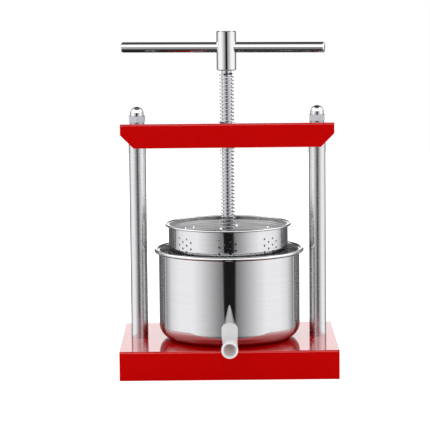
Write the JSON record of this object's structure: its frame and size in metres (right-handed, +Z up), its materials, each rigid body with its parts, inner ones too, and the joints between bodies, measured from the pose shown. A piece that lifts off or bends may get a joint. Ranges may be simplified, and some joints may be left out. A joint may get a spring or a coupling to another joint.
{
  "type": "fruit wine press",
  "caption": "Table press for fruit and wine: trapezoidal screw with cross handle in a folded steel frame, perforated basket in a juice pot with outlet tube.",
  "frame": {"origin": "point where the screw's axis meets the table, at the centre of the base's footprint", "axes": "+Z up along the screw, +X to the right, -Y forward to the outlet and the user"},
  "size_m": [0.241, 0.2239, 0.378],
  "materials": {
    "red_paint": "gloss",
    "satin_tube": "satin",
    "polished_steel": "polished",
    "bright_screw": "bright turned",
    "sheet_steel": "polished",
    "zinc_plate": "satin",
    "black_steel": "satin",
    "bronze": "satin",
    "silicone": "satin"
  },
  "bodies": {
    "frame": {"base_plate": "red_paint", "left_post": "satin_tube", "right_post": "satin_tube", "crossbeam": "red_paint", "tie_rods": "zinc_plate", "cap_nuts": "polished_steel", "spring_washers": "zinc_plate", "flat_washers": "zinc_plate", "base_nuts": "zinc_plate", "screw_nut": "zinc_plate", "juice_pot": "sheet_steel", "outlet_spout": "sheet_steel", "outlet_tube": "silicone"},
    "plate": {"press_plate": "sheet_steel", "plate_socket": "sheet_steel", "thrust_washer": "bronze"},
    "screw": {"press_screw": "bright_screw", "handle_hub": "polished_steel", "tommy_bar": "polished_steel", "set_screw": "black_steel", "retaining_washer": "zinc_plate", "retaining_bolt": "zinc_plate"},
    "basket": {"basket": "sheet_steel"}
  },
  "joints": [
    {"name": "plate_travel", "type": "slide", "parent": "frame", "child": "plate", "axis": [0, 0, 1], "range_m": [-0.05805, 0.10805]},
    {"name": "screw_turn", "type": "hinge", "parent": "plate", "child": "screw", "pos_m": [0, 0, 0.135], "axis": [0, 0, 1], "range_deg": [-5220, 9720]},
    {"name": "basket_lift", "type": "slide", "parent": "frame", "child": "basket", "axis": [0, 0, 1], "range_m": [0, 0.018]}
  ],
  "couplings": [
    {"joint": "plate_travel", "follows": "screw_turn", "m_per_rad": 0.00063662}
  ]
}
